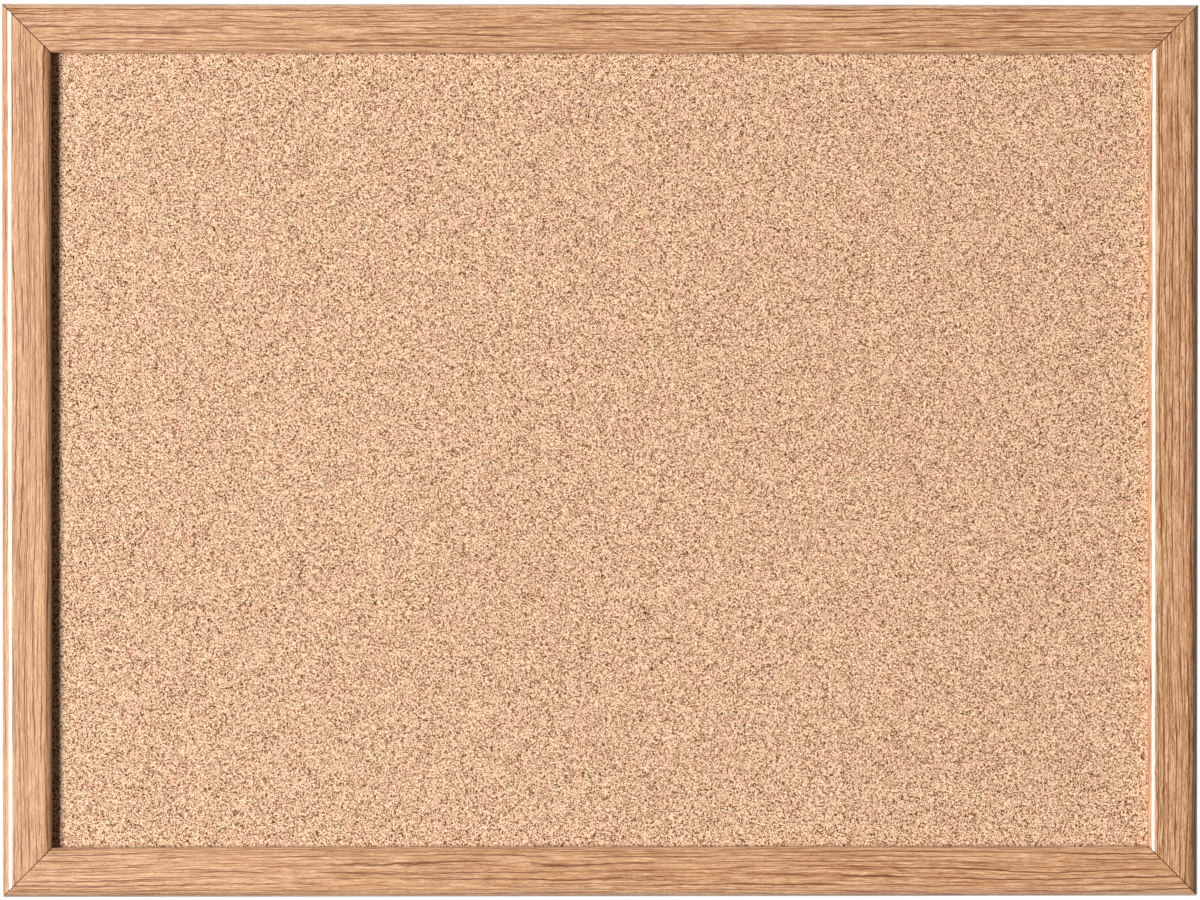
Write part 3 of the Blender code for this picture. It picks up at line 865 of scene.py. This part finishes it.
def add_screw(node, turn, finish):
    """A pan-head wood screw, seated on its strap and turned as it was driven."""
    low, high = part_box(node)
    middle = (low + high) / 2
    seat = Vector((middle.x, high.y - HEAD_HEIGHT, middle.z))
    name = node.replace("screw", "pan_screw")
    mesh = closed_mesh(name, screw_solid((high.z - low.z) / 2, seat.y - low.y))
    piece = add_piece(name, mesh, [finish], "board", seat, turn)
    place = piece.matrix_world @ Matrix.Translation((0, HEAD_HEIGHT, 0))
    cut_away(piece, cross_recess(), place, overlapping=True)
    smooth(piece.data, radians(38))
    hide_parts(node)


def add_pad(node, finish):
    """A moulded rubber bumper: a slightly flared foot, straight side, rounded rim and shallow dish."""
    low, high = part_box(node)
    middle = (low + high) / 2
    radius = (high.x - low.x) / 2
    height = high.y - low.y
    foot = [(0, radius), (PAD_FOOT, radius), (PAD_FOOT_TOP, radius - PAD_FLARE)]
    waist = radius - PAD_WAIST
    rim = [(height - PAD_RIM, waist)]
    for angle in (radians(15 * step) for step in range(1, 7)):
        rim.append((height - PAD_RIM + PAD_RIM * sin(angle), waist - PAD_RIM + PAD_RIM * cos(angle)))
    dish = [(height - 0.00005, radius - PAD_DISH_EDGE), (height - PAD_DISH_DEPTH, radius - PAD_DISH_FLOOR)]
    name = node.replace("wall_pad", "bumper")
    mesh = closed_mesh(name, lathe(foot + rim + dish, PAD_SIDES))
    smooth(mesh, radians(50))
    pad = add_piece(name, mesh, [finish], "board", (middle.x, low.y, middle.z))
    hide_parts(node)


def add_hardware(plated, spring, black):
    """Every nail, point, strap, screw, pad and ring, each in place of its CAD node."""
    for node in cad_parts:
        if node.startswith("v_nail"):
            name = node.replace("v_nail", "corner_nail")
            softened_copy(node, name, spring, NAIL_ROUNDING)
        elif node.startswith("retainer"):
            name = node.replace("retainer", "panel_point")
            softened_copy(node, name, spring, POINT_ROUNDING)
        elif node.startswith("hanger_strap"):
            name = node.replace("hanger_strap", "d_ring_strap")
            softened_copy(node, name, plated, STRAP_ROUNDING)
        elif node.startswith("screw"):
            add_screw(node, SCREW_TURNS[node], plated)
        elif node.startswith("wall_pad"):
            add_pad(node, black)
    for side in ("left", "right"):
        add_ring(side, plated)


# Studio


def add_surround():
    """The studio round the board: dim in front, brighter behind, with an overhead and a rear softbox."""
    world = bpy.data.worlds.new("studio")
    world.use_nodes = True
    bpy.context.scene.world = world
    tree = world.node_tree
    direction = add_node(tree, "ShaderNodeTexCoord").outputs["Generated"]
    behind = add_node(tree, "ShaderNodeVectorMath", {0: direction, 1: (0, 1, 0)}, operation="DOT_PRODUCT")
    strength = add_node(
        tree,
        "ShaderNodeMapRange",
        {"Value": behind.outputs["Value"], 1: REAR_FADE[0], 2: REAR_FADE[1], 3: DIM_FRONT, 4: BRIGHT_REAR},
        interpolation_type="SMOOTHSTEP",
    ).outputs[0]
    for axis, spread, power in ((OVERHEAD_AXIS, OVERHEAD_SPREAD, OVERHEAD), (REAR_AXIS, REAR_SPREAD, REAR)):
        towards = add_node(
            tree,
            "ShaderNodeVectorMath",
            {0: direction, 1: Vector(axis).normalized()},
            operation="DOT_PRODUCT",
        ).outputs["Value"]
        soft = add_node(
            tree,
            "ShaderNodeMapRange",
            {"Value": towards, 1: cos(spread + SOFT_EDGE), 2: cos(spread - SOFT_EDGE), 3: 0.0, 4: power},
            interpolation_type="SMOOTHSTEP",
        ).outputs[0]
        strength = add_node(tree, "ShaderNodeMath", {0: strength, 1: soft}, operation="ADD").outputs[0]
    seen = add_node(tree, "ShaderNodeLightPath").outputs["Is Camera Ray"]
    shown = add_node(tree, "ShaderNodeMix", {0: seen, 2: strength, 3: 1.0}, data_type="FLOAT").outputs[0]
    tree.links.new(shown, tree.nodes["Background"].inputs["Strength"])
    tree.nodes["Background"].inputs["Color"].default_value = (1, 1, 1, 1)


def add_key():
    """A far, large softbox to the left of the board, level with it."""
    light = bpy.data.lights.new("key", "AREA")
    light.shape = "RECTANGLE"
    light.size = KEY_WIDTH
    light.size_y = KEY_HEIGHT
    light.energy = KEY_POWER
    key = bpy.data.objects.new("key", light)
    away = Vector((-sin(KEY_ANGLE), -cos(KEY_ANGLE), 0))
    key.location = away * KEY_DISTANCE
    key.rotation_euler = away.to_track_quat("Z", "Y").to_euler()
    bpy.context.scene.collection.objects.link(key)


def add_floor():
    """A plain pale floor well below the board, which adds no light of its own to the board."""
    bm = bmesh.new()
    bmesh.ops.create_grid(bm, x_segments=24, y_segments=24, size=FLOOR_SIZE / 2)
    mesh = bpy.data.meshes.new("floor")
    bm.to_mesh(mesh)
    bm.free()
    mesh.materials.append(pale_floor())
    floor = bpy.data.objects.new("floor", mesh)
    floor.location.z = BOARD_LOW.z - FLOOR_DROP
    floor.visible_diffuse = False
    bpy.context.scene.collection.objects.link(floor)


def add_camera():
    """Straight on, a little left of and above the middle, framed so that the board fills the view."""
    camera = bpy.data.objects.new("camera", bpy.data.cameras.new("camera"))
    target = Vector((0, FRONT_Y + OUTER_SHOULDER_RADIUS, 0)) + Vector(AIM_TRIM)
    camera.location = target + Vector(CAMERA_OFFSET)
    camera.rotation_euler = Vector(CAMERA_OFFSET).to_track_quat("Z", "Y").to_euler()
    sensor = camera.data.sensor_width
    camera.data.lens = sensor * FRAME_FILL * Vector(CAMERA_OFFSET).length / BOARD_WIDTH
    bpy.context.scene.collection.objects.link(camera)
    bpy.context.scene.camera = camera


bpy.context.scene.view_settings.view_transform = "Standard"
add_camera()
add_surround()
add_key()
add_floor()
add_rails(raw_fibreboard())
add_glue_lines(glue())
add_panels(cork(), softboard(), hardboard())
add_hardware(
    metal("zinc_plate", rgb(166, 166, 162), rgb(132, 134, 135), 0.32, 900, 0.25),
    metal("spring_steel", rgb(128, 128, 130), rgb(96, 97, 100), 0.38, 1200, 0.35),
    rubber(),
)
